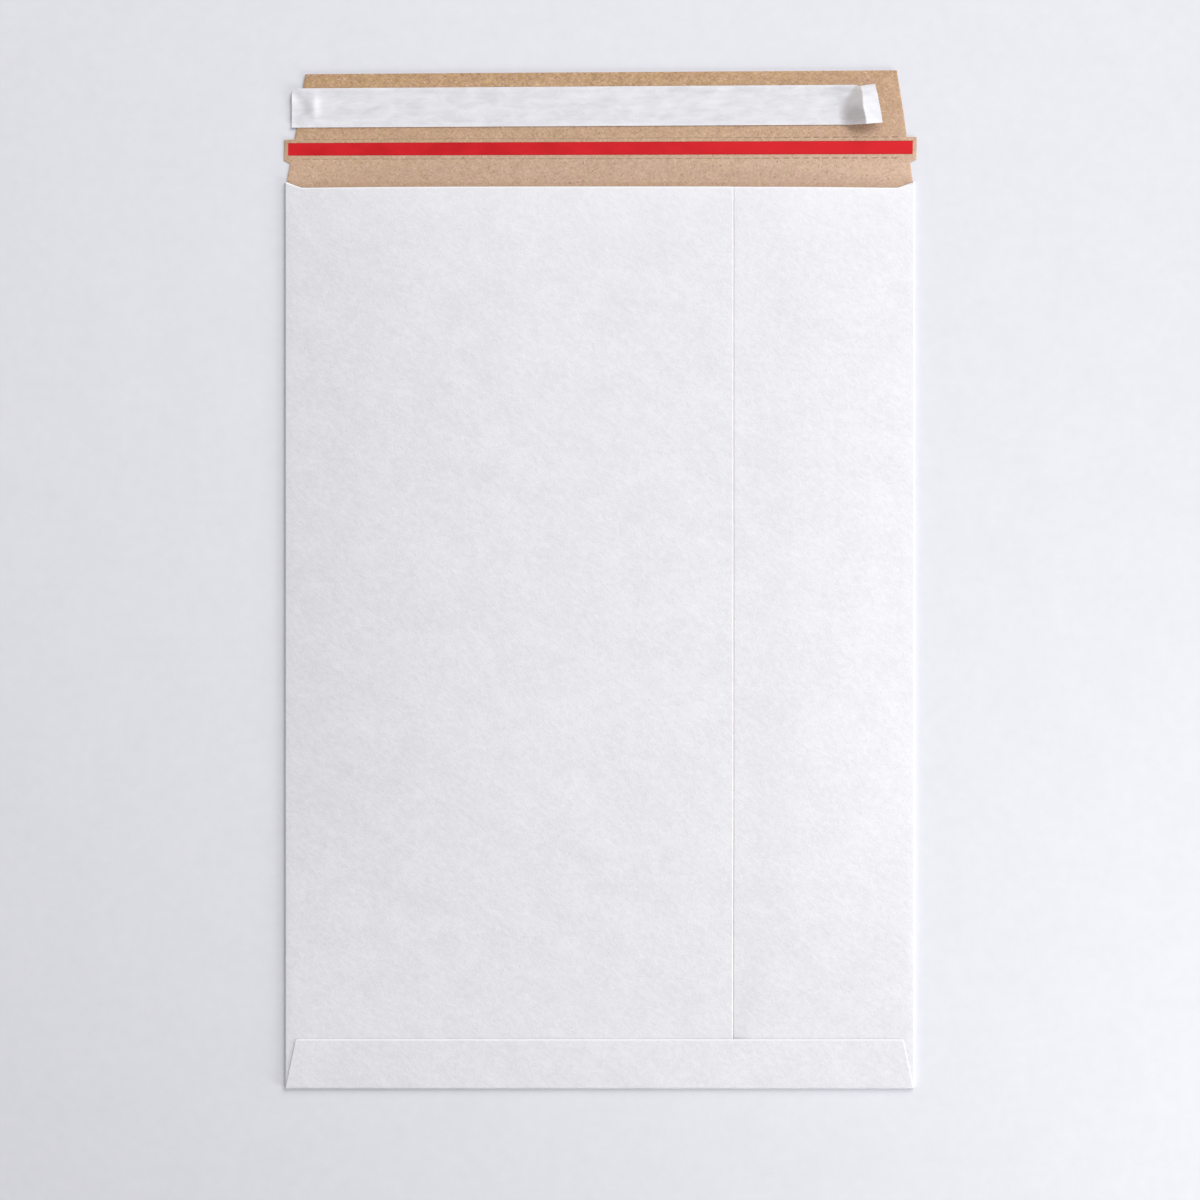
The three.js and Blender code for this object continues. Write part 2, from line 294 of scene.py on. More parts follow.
def kraft_board_finish(foot, tip):
    """Unbleached inner ply: short fibres lying every way, dark shives and pale hairs on brown.

    Painted light makes it paler near the closing flap's crease and on its right, and painted shade
    makes it darker and yellower towards its tip and its left side.
    """
    made, finish = material("kraft_board")
    place = finish.place()
    fibres = {"detail": 3, "roughness": 0.65, "crinkle": 0.6}
    fibre_one = finish.grain(finish.turned(place, 24, stretch=2.4), KRAFT_FIBRE_ONE, **fibres)
    fibre_two = finish.grain(finish.turned(place, -52, stretch=2.4), KRAFT_FIBRE_TWO, **fibres)
    cloud = finish.grain(place, KRAFT_CLOUD, detail=4, roughness=0.65)
    shive = finish.grain(finish.turned(place, 68, stretch=2), SHIVE, detail=1)
    shive = finish.step(shive, low=0.64, high=0.74)
    hair = finish.grain(finish.turned(place, -15, stretch=4), HAIR, detail=1)
    hair = finish.step(hair, low=0.66, high=0.75)
    hue = finish.step(finish.grain(place, KRAFT_HUE, detail=3), low=0.35, high=0.65)
    tone = finish.step(0.41 * fibre_one + 0.41 * fibre_two + 0.18 * cloud, low=0.27, high=0.73)
    x = finish.along("X", place)
    y = finish.along("Y", place)
    # Masks for the painted shade towards the tip and on the left, and for the painted light near the
    # crease and on the right.
    painted_shade_to_tip = finish.node("ShaderNodeMapRange", inputs={"Value": y, "From Min": foot, "From Max": tip})
    painted_light_near_crease = 1 - finish.step(y, foot, foot + CREASE_PAINTED_LIGHT_REACH)
    painted_shade_on_left = 1 - finish.step(x, LEFT_FULL, LEFT_END)
    painted_light_on_right = finish.step(x, RIGHT_START, RIGHT_FULL)
    dark = finish.mix(painted_shade_to_tip, KRAFT_SHADE, KRAFT_SHADE_TIP_PAINTED_DARKER)
    dark = finish.mix(painted_light_near_crease, dark, KRAFT_SHADE_CREASE_PAINTED_PALER)
    light = finish.mix(painted_shade_to_tip, KRAFT_LIGHT, KRAFT_LIGHT_TIP_PAINTED_DARKER)
    light = finish.mix(painted_light_near_crease, light, KRAFT_LIGHT_CREASE_PAINTED_PALER)
    brown = finish.mix(0.2 * hue, finish.mix(tone, dark, light), KRAFT_PINK)
    brown = finish.mix(0.2 * (1 - hue), brown, KRAFT_YELLOW)
    brown = finish.mix(0.1 * painted_shade_on_left, brown, KRAFT_PAINTED_SHADE_LEFT)
    brown = finish.mix(0.1 * painted_light_on_right, brown, KRAFT_PAINTED_LIGHT_RIGHT)
    specked = finish.mix(0.45 * shive, brown, SHIVE_COLOUR)
    surface(
        finish,
        base_color=finish.mix(0.55 * hair, specked, HAIR_COLOUR),
        roughness=0.74 + 0.2 * fibre_one,
        specular_ior_level=0.2,
        normal=finish.bump(0.5 * fibre_one + 0.5 * fibre_two, depth=0.2 * MM, strength=0.6),
    )
    return made


CORE_FIBRE = 0.3 * MM
CORE_CLOUD = 4 * MM
CORE_SHADE = (0.31, 0.225, 0.16)
CORE_LIGHT = (0.57, 0.44, 0.34)


def cut_edge_finish():
    """Knife-cut edge of the board: its brown core, with the torn fibres as fine streaks."""
    made, finish = material("cut_edge")
    place = finish.place()
    fibre = finish.grain(place, CORE_FIBRE, detail=3)
    cloud = finish.grain(place, CORE_CLOUD, detail=2)
    surface(
        finish,
        base_color=finish.mix(0.6 * fibre + 0.4 * cloud, CORE_SHADE, CORE_LIGHT),
        roughness=0.9,
        specular_ior_level=0.2,
        normal=finish.bump(fibre, depth=0.05 * MM, strength=0.5),
    )
    return made


def smooth_step(share):
    share = np.clip(share, 0, 1)
    return share * share * (3 - 2 * share)


def layer(x, y, z):
    """One side of a sheet, as rows of points."""
    return np.stack(np.broadcast_arrays(x, y, z), axis=-1)


def sheet_piece(name, face, back, cells, finishes, **marks):
    """A sheet as a closed mesh: two sides over the cells that are there, and walls where they end.

    Columns turned onto rows by the right hand give the way that the face looks. The finishes are those
    of the face, the back and the walls. Each mark is a level for every point of the face, which a
    finish can use.
    """
    on_face, on_back, on_wall = range(3)
    columns = face.shape[1]
    back_start = face.shape[0] * columns
    there = np.pad(cells, 1)
    faces = []
    kinds = []
    for row, column in np.argwhere(cells):
        corner = row * columns + column
        ring = [corner, corner + 1, corner + columns + 1, corner + columns]
        faces.append(ring)
        faces.append([back_start + point for point in reversed(ring)])
        kinds += [on_face, on_back]
        neighbours = [(row - 1, column), (row, column + 1), (row + 1, column), (row, column - 1)]
        for side, (next_row, next_column) in enumerate(neighbours):
            if not there[next_row + 1, next_column + 1]:
                start, end = ring[side], ring[(side + 1) % 4]
                faces.append([end, start, back_start + start, back_start + end])
                kinds.append(on_wall)
    points = np.concatenate([face.reshape(-1, 3), back.reshape(-1, 3)])
    used, places = np.unique(np.array(faces), return_inverse=True)
    mesh = bpy.data.meshes.new(name)
    mesh.from_pydata(points[used], [], places.reshape(-1, 4))
    for finish in finishes:
        mesh.materials.append(finish)
    mesh.polygons.foreach_set("material_index", kinds)
    mesh.polygons.foreach_set("use_smooth", [kind != on_wall for kind in kinds])
    edge_of_corner = np.empty(len(mesh.loops), int)
    mesh.loops.foreach_get("edge_index", edge_of_corner)
    sharp = np.zeros(len(mesh.edges), bool)
    sharp[edge_of_corner.reshape(-1, 4)[np.array(kinds) == on_wall]] = True
    mesh.edges.foreach_set("use_edge_sharp", sharp)
    for mark, levels in marks.items():
        both_sides = np.concatenate([levels.ravel(), np.zeros(levels.size)])
        mesh.attributes.new(mark, "FLOAT", "POINT").data.foreach_set("value", both_sides[used])
    piece = bpy.data.objects.new(name, mesh)
    bpy.context.collection.objects.link(piece)
    return piece


def crease_bead(distance):
    """The low ridge that a scored crease raises on the board's inside."""
    return BEAD_HEIGHT * np.exp(-((distance / BEAD_REACH) ** 2))


def pressed_edge(distance, drop=EDGE_DROP, reach=EDGE_REACH):
    """How far the knife presses a cut edge down, at this distance from it."""
    return drop * np.clip(1 - distance / reach, 0, 1) ** EDGE_ROUNDING


def panel_underside(x, y):
    """Height of the left front panel's underside: bowed, and a little uneven."""
    free = 1 - np.abs(x / fold_x) ** BOW_FLATNESS
    free = free * smooth_step((y - bow_start_y) / BOW_RUN)
    uneven = np.sin(x / WAVER_ONE_X + y / WAVER_ONE_Y)
    uneven = uneven + np.sin(y / WAVER_TWO_Y - x / WAVER_TWO_X + WAVER_TWO_START)
    return front_underside + (bow_height - 2 * WAVER + WAVER * uneven) * free


def right_panel_underside(x, y):
    """The right front panel lies one board lower where the left one laps over it.

    It comes back up beside the seam, and sooner where the bottom flap presses on both.
    """
    sprung = smooth_step((y - bow_start_y) / LAP_SPRING)
    recovery = LAP_RECOVERY_LOW + (LAP_RECOVERY - LAP_RECOVERY_LOW) * sprung
    lapped = 1 - smooth_step((x - seam_x) / recovery)
    groove = SEAM_GROOVE * np.clip(1 - (x - seam_x) / SEAM_GROOVE_REACH, 0, 1) ** 2
    return panel_underside(x, y) - (BOARD + GLUE) * lapped - np.where(x < seam_x, SEAM_GROOVE, groove)


# Points stand closer together within these strips beside a cut edge and a crease.
EDGE_STRIP = 3 * MM
CREASE_STRIP = 8 * MM

edge_steps = np.array([0, 0.2, 0.4, 0.65, 0.9]) * MM
crease_steps = np.array([4, 2, 1.5, 1.2, 0.9, 0.6, 0.3, 0]) * MM
bends = np.radians(np.linspace(90, -90, 15))[1:-1]
right_x = np.concatenate(
    [
        np.linspace(lap_x, seam_x, 6)[:-1],
        seam_x + edge_steps,
        np.linspace(seam_x + EDGE_STRIP, fold_x, 24),
    ]
)
rear_half = np.concatenate([np.linspace(0, fold_x - EDGE_STRIP, 34), fold_x - edge_steps[::-1]])
rear_x = np.concatenate([rear_half[::-1], -rear_half[1:]])
left_x = np.concatenate([np.linspace(-fold_x, seam_x - EDGE_STRIP, 60), seam_x - edge_steps[::-1]])
front_share = np.concatenate(
    [
        np.ones_like(right_x),
        (1 + np.sin(bends)) / 2,
        np.zeros_like(rear_x),
        (1 - np.sin(bends)) / 2,
        np.ones_like(left_x),
    ]
)
pocket_rows = np.concatenate(
    [np.linspace(bottom_bend_y, half_length - CREASE_STRIP, 70), half_length - crease_steps]
)
pocket_shares = (pocket_rows - bottom_bend_y) / (half_length - bottom_bend_y)
right_end = len(right_x)
rear_start = right_end + len(bends)
rear_end = rear_start + len(rear_x)
left_start = rear_end + len(bends)


def pocket_layer(bend_radius, lift):
    """One side of the wall, from the lapped edge right round to the seam edge.

    The lift is its height off the board's inside.
    """
    bend_depth = FOLD_DEPTH + bend_radius - fold_radius
    x = np.concatenate(
        [
            right_x,
            fold_x + bend_depth * np.cos(bends),
            rear_x,
            -fold_x - bend_depth * np.cos(bends),
            left_x,
        ]
    )
    setback = MOUTH_SETBACK * front_share * np.clip((half_width - np.abs(x)) / MOUTH_CORNER, 0, 1)
    y = bottom_bend_y + pocket_shares[:, None] * (half_length - setback - bottom_bend_y)
    z = np.empty_like(y)
    z[:, :right_end] = right_panel_underside(right_x, y[:, :right_end]) + lift
    z[:, right_end:rear_start] = fold_radius + bend_radius * np.sin(bends)
    z[:, rear_start:rear_end] = BOARD - lift + crease_bead(half_length - y[:, rear_start:rear_end])
    z[:, rear_end:left_start] = fold_radius - bend_radius * np.sin(bends)
    z[:, left_start:] = panel_underside(left_x, y[:, left_start:]) + lift
    if lift:
        z[:, left_start:] -= pressed_edge(seam_x - left_x, SEAM_EDGE_DROP, SEAM_EDGE_REACH)
        z -= pressed_edge(half_length - setback - y) * (front_share == 1)
    else:
        y[-1] += MOUTH_CUT_LEAN * (front_share == 1)
    return layer(x, y, z)


corner_rows = bottom_flap_top - BOTTOM_FLAP_CORNER * (1 - np.cos(np.radians(np.linspace(0, 90, 9))))
bottom_rows = np.concatenate([corner_rows, np.linspace(corner_rows[-1], bottom_bend_y, 13)[1:]])
bottom_bends = np.radians(np.linspace(180, 0, 13))[1:-1]


def bottom_layer(bend_radius, pressed):
    """One side of the bottom flap from its free edge down to its fold, and round that to the pocket."""
    bend_depth = BOTTOM_FOLD_DEPTH + bend_radius - bottom_bend_outside
    y = np.concatenate([bottom_rows, bottom_bend_y - bend_depth * np.sin(bottom_bends)])
    z = bottom_bend_outside - bend_radius * np.cos(
        np.concatenate([np.full(len(bottom_rows), math.pi), bottom_bends])
    )
    height = np.clip((y + half_length) / BOTTOM_FLAP_HEIGHT, 0, 1)
    inset = BOTTOM_FLAP_FOOT_INSET + (BOTTOM_FLAP_TOP_INSET - BOTTOM_FLAP_FOOT_INSET) * height
    into_corner = np.clip((y - bottom_flap_top) / BOTTOM_FLAP_CORNER + 1, 0, 1)
    rounding = BOTTOM_FLAP_CORNER * (1 - np.sqrt(1 - into_corner**2))
    reach = half_width - inset - rounding
    x = rear_x / fold_x * reach[:, None]
    drop = np.maximum(
        pressed_edge(bottom_flap_top - y[:, None]),
        pressed_edge(reach[:, None] - x, SEAM_EDGE_DROP, SEAM_EDGE_REACH),
    )
    above_bend = np.arange(len(y))[:, None] < len(bottom_rows)
    return layer(x, y[:, None], z[:, None] - pressed * above_bend * drop)


def pocket_side(bend_radius, bottom_radius, lift):
    """Both layers above as one lattice, with the bottom flap's rows standing before the pocket's."""
    wall = pocket_layer(bend_radius, lift)
    lattice = np.zeros((len(bottom_rows) + len(bottom_bends) + len(wall), wall.shape[1], 3))
    lattice[-len(wall) :] = wall
    lattice[: -len(wall), rear_start:rear_end] = bottom_layer(bottom_radius, lift > 0)
    return lattice


def painted_rim_highlights(lattice):
    """A painted highlight along the bottom flap's free edge and along the mouth, where the cut edges
    catch the light.

    The front panels also carry a little painted light towards the mouth.
    """
    painted_rim_levels = np.zeros(lattice.shape[:2])
    from_flap_edge = bottom_flap_top - lattice[: len(bottom_rows), rear_start, 1, None]
    painted_rim_levels[: len(bottom_rows)] = np.clip(1 - from_flap_edge / RIM_PAINTED_HIGHLIGHT_REACH, 0, 1)
    wall_y = lattice[-len(pocket_rows) :, :, 1]
    from_mouth = wall_y[-1] - wall_y
    mouth_painted_light = MOUTH_PAINTED_LIGHT * np.exp(-from_mouth / MOUTH_PAINTED_LIGHT_REACH)
    wall_painted_light = painted_rim_levels[-len(pocket_rows) :]
    wall_painted_light[:] = np.maximum(np.clip(1 - from_mouth / RIM_PAINTED_HIGHLIGHT_REACH, 0, 1), mouth_painted_light)
    wall_painted_light[:, rear_start:rear_end] = 0
    return painted_rim_levels


white_board = white_board_finish()
kraft_board = kraft_board_finish(half_length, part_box("closing_flap")[1].y)
cut_edge = cut_edge_finish()

pocket_face = pocket_side(fold_radius, bottom_bend_outside, BOARD)
pocket_back = pocket_side(fold_gap / 2, bottom_bend_inside, 0)
pocket_cells = np.ones((pocket_face.shape[0] - 1, pocket_face.shape[1] - 1), bool)
bottom_cells = pocket_cells[: len(bottom_rows) + len(bottom_bends)]
bottom_cells[:, :rear_start] = False
bottom_cells[:, rear_end - 1 :] = False
pocket = sheet_piece(
    "mailer_pocket",
    pocket_face,
    pocket_back,
    pocket_cells,
    [white_board, kraft_board, cut_edge],
    # The mark carries the painted highlight on the rims and the painted light towards the mouth.
    rim=painted_rim_highlights(pocket_face),
)
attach(pocket, "mailer")
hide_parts("mailer_body")


# The closing flap: the same sheet carried on past the address panel, and folded open at its crease, so
# that its brown inside shows. Two rows of slits let a strip tear out, with a tab at each end to pull.
# It is folded a little out of square, and its free edge curls up off the table.

FLAP_FOOT_INSET = 0.7 * MM
FLAP_TIP_INSET = 10.2 * MM
TEAR_LINE = 12.4 * MM
TEAR_BAND = 11 * MM
TAB_REACH = 1 * MM
TAB_DROP = 0.8 * MM
TAB_HEIGHT = 11.6 * MM
TAB_FLARE_LOW = 1.5 * MM
TAB_FLARE_HIGH = 0.25 * MM
SLIT_LENGTH = 3.6 * MM
SLIT_WIDTH = 0.3 * MM
SLIT_PITCH = 5.3 * MM
SLITS_EACH_SIDE = 30
BEND_REACH = 3 * MM
CURL = 0.7 * MM
FLAP_SKEW = 1.1 * MM
FLAP_LEAN = 0.75 * MM
FLAP_SKEW_RUN = 36 * MM
ROWS_BELOW_SLITS = 2.5 * MM
ROWS_ABOVE_SLITS = 2 * MM
ROWS_BELOW_TIP = 1.5 * MM

flap_foot = half_length
flap_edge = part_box("closing_flap")[0].y
flap_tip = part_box("closing_flap")[1].y
flap_length = flap_tip - flap_edge
low_slits = flap_edge + TEAR_LINE
high_slits = low_slits + TEAR_BAND


def flap_reach(y):
    """Half the flap's width, without the tear tabs."""
    height = (y - flap_edge) / flap_length
    return half_width - FLAP_FOOT_INSET - (FLAP_TIP_INSET - FLAP_FOOT_INSET) * height


def flap_lift(y):
    """How far the curled flap stands off the table."""
    return CURL * np.clip((y - flap_foot - BEND_REACH) / (flap_length - BEND_REACH), 0, 1) ** 2


def skewed_share(y):
    """How far out of square the flap is here, which grows from nothing at the crease to one."""
    return np.clip((y - flap_foot) / FLAP_SKEW_RUN, 0, 1)


def rise(y):
    """How much a line across the flap rises to the right."""
    return FLAP_SKEW / half_width * skewed_share(y)


def on_flap(x, y):
    """Where a place on a square flap lies on this one, which rises and leans to the right."""
    return x + FLAP_LEAN * skewed_share(y), y + rise(y) * x


tab_low = low_slits - TAB_DROP
tab_high = tab_low + TAB_HEIGHT
outline_y = np.array(
    [flap_foot, tab_low - TAB_FLARE_LOW, tab_low, tab_high, tab_high + TAB_FLARE_HIGH, flap_tip]
)
outline_x = flap_reach(outline_y)
outline_x[2:4] = half_width + TAB_REACH
slit_edges = [row + side * SLIT_WIDTH / 2 for row in (low_slits, high_slits) for side in (-1, 1)]
flap_y = np.unique(
    np.concatenate(
        [
            np.linspace(flap_foot, flap_foot + BEND_REACH, 17),
            np.linspace(flap_foot + BEND_REACH, low_slits - ROWS_BELOW_SLITS, 7),
            np.linspace(low_slits, high_slits, 8)[1:-1],
            np.linspace(high_slits + ROWS_ABOVE_SLITS, flap_tip - ROWS_BELOW_TIP, 16),
            flap_tip - edge_steps,
            outline_y,
            slit_edges,
        ]
    ).round(7)
)
slit_x = np.arange(-SLITS_EACH_SIDE, SLITS_EACH_SIDE + 1) * SLIT_PITCH
flap_x = np.sort(np.concatenate([slit_x - SLIT_LENGTH / 2, slit_x + SLIT_LENGTH / 2]))
flap_ends = np.interp(flap_y, outline_y, outline_x)
flap_narrowing = np.minimum(1, flap_reach(flap_y) / flap_reach(high_slits + SLIT_WIDTH))
flap_sides = flap_ends[:, None] - edge_steps
lattice_x = np.concatenate(
    [-flap_sides, flap_narrowing[:, None] * flap_x, flap_sides[:, ::-1]], axis=1
)
lattice_y = flap_y[:, None]
lattice_z = flap_lift(lattice_y) + crease_bead(lattice_y - flap_foot)
flap_free = np.minimum(flap_tip - lattice_y, flap_ends[:, None] - np.abs(lattice_x))
flap_place = on_flap(lattice_x, lattice_y)
flap_cells = np.ones((len(flap_y) - 1, lattice_x.shape[1] - 1), bool)
for slit_row in (low_slits, high_slits):
    row = np.argmin(np.abs(flap_y - (slit_row - SLIT_WIDTH / 2)))
    flap_cells[row, len(edge_steps) : -len(edge_steps) : 2] = False
flap_board = sheet_piece(
    "closing_flap_board",
    layer(*flap_place, lattice_z + BOARD - pressed_edge(flap_free) / 2),
    layer(*flap_place, lattice_z),
    flap_cells,
    [kraft_board, white_board, cut_edge],
)
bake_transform(flap_board)
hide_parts("closing_flap")


# The lips of the slits: the knives that cut the two rows push up a thin burr of kraft fibre along
# both sides of each slit, so that the rows show as fine dashes on the brown.

LIP_RADIUS = 0.12 * MM
LIP_GAP = 0.1 * MM
LIP_END = 0.15
LIP_RINGS = 8
LIP_SIDES = 6
BURR_FIBRE = 0.5 * MM
# The burr darkens from here to the right end.
DARKER_BURR_START = 60 * MM
DARKER_BURR_FULL = 125 * MM
BURR_SHADE = (0.40, 0.29, 0.17)
BURR_LIGHT = (0.62, 0.46, 0.30)
DARKER_BURR_SHADE = (0.25, 0.175, 0.10)
DARKER_BURR_LIGHT = (0.42, 0.30, 0.19)


def burr_finish():
    """Kraft fibre: like the board round it at the left, and darker towards the right end."""
    made, finish = material("slit_burr")
    place = finish.place()
    fibre = finish.grain(place, BURR_FIBRE, detail=3)
    darker_to_right = finish.step(finish.along("X", place), DARKER_BURR_START, DARKER_BURR_FULL)
    light = finish.mix(fibre, BURR_SHADE, BURR_LIGHT)
    dark = finish.mix(fibre, DARKER_BURR_SHADE, DARKER_BURR_LIGHT)
    surface(
        finish,
        base_color=finish.mix(darker_to_right, light, dark),
        roughness=0.9,
        specular_ior_level=0.2,
        normal=finish.bump(fibre, depth=0.05 * MM, strength=0.5),
    )
    return made


def slit_lips_tree():
    """Two rows of points along the flap, with a pair of tapered ridges set on each."""
    tree = bpy.data.node_groups.new("slit_lips", "GeometryNodeTree")
    sockets = {}
    for name, kind in (
        ("Slits", "NodeSocketInt"),
        ("Slit Length", "NodeSocketFloat"),
        ("Lip Gap", "NodeSocketFloat"),
        ("Lip Radius", "NodeSocketFloat"),
        ("Low Row", "NodeSocketVector"),
        ("Low Step", "NodeSocketVector"),
        ("High Row", "NodeSocketVector"),
        ("High Step", "NodeSocketVector"),
    ):
        sockets[name] = tree.interface.new_socket(name, in_out="INPUT", socket_type=kind).identifier
    tree.interface.new_socket("Geometry", in_out="OUTPUT", socket_type="NodeSocketGeometry")
    lips = Finish(tree)
    group = tree.nodes.new("NodeGroupInput")
    size = {name: Level(lips, group.outputs[name]) for name in sockets}
    rows = []
    for row in ("Low", "High"):
        start, step = size[row + " Row"], size[row + " Step"]
        line = {"Count": size["Slits"], "Start Location": start, "Offset": step}
        rows.append(lips.node("GeometryNodeMeshLine", inputs=line))
    half = 0.5 * size["Slit Length"]
    section = {"Resolution": LIP_SIDES, "Radius": size["Lip Radius"]}
    profile = lips.node("GeometryNodeCurvePrimitiveCircle", inputs=section)
    ridges = []
    for side in (-1, 1):
        aside = side * size["Lip Gap"]
        start = lips.node("ShaderNodeCombineXYZ", inputs={"X": -1 * half, "Y": aside})
        end = lips.node("ShaderNodeCombineXYZ", inputs={"X": half, "Y": aside})
        ridge = lips.node("GeometryNodeCurvePrimitiveLine", inputs={"Start": start, "End": end})
        ridge = lips.node("GeometryNodeResampleCurve", inputs={"Curve": ridge, "Count": LIP_RINGS})
        along = lips.node("GeometryNodeSplineParameter", output="Factor")
        taper = LIP_END + 4 * (1 - LIP_END) * along * (1 - along)
        ridges.append(
            lips.node(
                "GeometryNodeCurveToMesh",
                inputs={"Curve": ridge, "Profile Curve": profile, "Scale": taper, "Fill Caps": True},
            )
        )
    pair = lips.node("GeometryNodeJoinGeometry", inputs={"Geometry": ridges})
    points = lips.node("GeometryNodeJoinGeometry", inputs={"Geometry": rows})
    placed = lips.node("GeometryNodeInstanceOnPoints", inputs={"Points": points, "Instance": pair})
    real = lips.node("GeometryNodeRealizeInstances", inputs={"Geometry": placed})
    dressed = lips.node("GeometryNodeSetMaterial", inputs={"Geometry": real, "Material": burr_finish()})
    lips.node("NodeGroupOutput", inputs={"Geometry": dressed})
    return tree, sockets


def grown(name, tree, sockets, sizes):
    """What a tree makes with these sizes, as a plain mesh piece."""
    seed = bpy.data.objects.new(name, bpy.data.meshes.new(name + "_seed"))
    bpy.context.collection.objects.link(seed)
    modifier = seed.modifiers.new(name, "NODES")
    modifier.node_group = tree
    for size_name, value in sizes.items():
        modifier[sockets[size_name]] = value
    depsgraph = bpy.context.evaluated_depsgraph_get()
    mesh = bpy.data.meshes.new_from_object(seed.evaluated_get(depsgraph))
    seed.modifiers.remove(modifier)
    seed.data = mesh
    return seed


def first_slit(row):
    """Middle of a row's left-most slit."""
    return *on_flap(slit_x[0], row), BOARD + flap_lift(row)


slit_lips = grown(
    "slit_lips",
    *slit_lips_tree(),
    {
        "Slits": len(slit_x),
        "Slit Length": SLIT_LENGTH,
        "Lip Gap": LIP_GAP,
        "Lip Radius": LIP_RADIUS,
        "Low Row": first_slit(low_slits),
        "Low Step": (SLIT_PITCH, SLIT_PITCH * rise(low_slits), 0),
        "High Row": first_slit(high_slits),
        "High Step": (SLIT_PITCH, SLIT_PITCH * rise(high_slits), 0),
    },
)
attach(slit_lips, "flap")


# The tear tape: a red film strip, rolled down with its own adhesive between the two rows of slits.
# It reaches from tab to tab, and pulls the strip of board out with it.

TAPE_THICKNESS = 0.1 * MM
TAPE_EXTRA = 0.45 * MM
TAPE_RIPPLE = 0.012 * MM
RIPPLE_ALONG = 9 * MM
RIPPLE_ACROSS = 2 * MM
TAPE_CLOUD = 9 * MM
# Where the painted shade along the tape's slit sides begins and where it is full.
TAPE_EDGE_SHADE_START = 0.6 * MM
TAPE_EDGE_SHADE_FULL = 0.1 * MM
TAPE_SHADE = (0.535, 0.0075, 0.0125)
TAPE_LIGHT = (0.67, 0.0135, 0.0205)
# Painted light towards the tape's right end.
TAPE_PAINTED_LIGHT_RIGHT = (0.74, 0.018, 0.026)
TAPE_PAINTED_EDGE_SHADE = (0.42, 0.012, 0.014)

tape_low, tape_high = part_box("tear_tape")
tape_low.x -= TAPE_EXTRA
tape_high.x += TAPE_EXTRA
tape_half = (tape_high.y - tape_low.y) / 2
tape_middle = (tape_low.y + tape_high.y) / 2


def tear_tape_finish():
    """Red film with a satin face, uneven where it was rolled down, with painted shade along its slit
    sides and painted light towards its right end.
    """
    made, finish = material("tear_tape")
    place = finish.place()
    cloud = finish.grain(finish.turned(place, 0, stretch=1.8), TAPE_CLOUD, detail=2, roughness=0.6)
    x = finish.along("X", place)
    y = finish.along("Y", place)
    from_middle = abs(y - x * rise(tape_middle) - tape_middle)
    # Painted shade along the film's slit sides, standing for the shade on its cut edges.
    side = finish.step(from_middle, tape_half - TAPE_EDGE_SHADE_START, tape_half - TAPE_EDGE_SHADE_FULL)
    red = finish.mix(finish.step(cloud, low=0.25, high=0.75), TAPE_SHADE, TAPE_LIGHT)
    # Painted light, growing towards the tape's right end.
    red = finish.mix(0.5 * finish.step(x, tape_low.x, tape_high.x), red, TAPE_PAINTED_LIGHT_RIGHT)
    surface(
        finish,
        base_color=finish.mix(0.5 * side, red, TAPE_PAINTED_EDGE_SHADE),
        roughness=0.5 + 0.16 * cloud,
        specular_ior_level=0.16,
        normal=finish.bump(cloud, depth=0.1 * MM, strength=0.25),
    )
    return made


def laid_strip(name, low, high, columns, rows, thickness, finish, ripple=0):
    """A flat strip between two corners, laid on the flap and following its curl and its skew.

    A ripple is half the height of the waves that are left in it.
    """
    x = np.linspace(low.x, high.x, columns)
    y = np.linspace(low.y, high.y, rows)[:, None]
    waves = 1 + np.sin(x / RIPPLE_ALONG + y / RIPPLE_ACROSS)
    under = BOARD + flap_lift(y) + ripple * waves
    cells = np.ones((rows - 1, columns - 1), bool)
    place = on_flap(x, y)
    return sheet_piece(
        name, layer(*place, under + thickness), layer(*place, under), cells, [finish, finish, finish]
    )


tear_tape = laid_strip(
    "tear_tape_film",
    tape_low,
    tape_high,
    columns=160,
    rows=8,
    thickness=TAPE_THICKNESS,
    finish=tear_tape_finish(),
    ripple=TAPE_RIPPLE,
)
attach(tear_tape, "flap")
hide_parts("tear_tape")


# The adhesive: a band of clear pressure-sensitive glue, coated on the flap from a nozzle. The liner
# covers all of it, and its two edges show through the liner as faint lines.

ADHESIVE_THICKNESS = 0.1 * MM
ADHESIVE_FLOW = 1.5 * MM
ADHESIVE_SHADE = (0.55, 0.42, 0.27)
ADHESIVE_LIGHT = (0.74, 0.62, 0.45)

adhesive_low, adhesive_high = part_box("adhesive_band")


def adhesive_finish():
    """Clear glue over brown board: honey coloured, wet and a little wavy."""
    made, finish = material("adhesive")
    flow = finish.grain(finish.turned(finish.place(), 0, stretch=8), ADHESIVE_FLOW)
    surface(
        finish,
        base_color=finish.mix(flow, ADHESIVE_SHADE, ADHESIVE_LIGHT),
        roughness=0.12 + 0.15 * flow,
        specular_ior_level=0.5,
        normal=finish.bump(flow, depth=0.05 * MM, strength=0.4),
    )
    return made


adhesive = laid_strip(
    "adhesive_coat",
    adhesive_low,
    adhesive_high,
    columns=80,
    rows=8,
    thickness=ADHESIVE_THICKNESS,
    finish=adhesive_finish(),
)
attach(adhesive, "flap")
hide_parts("adhesive_band")


# The release liner: a strip of siliconed paper over the adhesive, pressed on and cut off with a knife.
# Its left end hangs over the flap's side, crumpled, and its right end is bent up into a finger tab,
# which is pressed down when the flap closes.

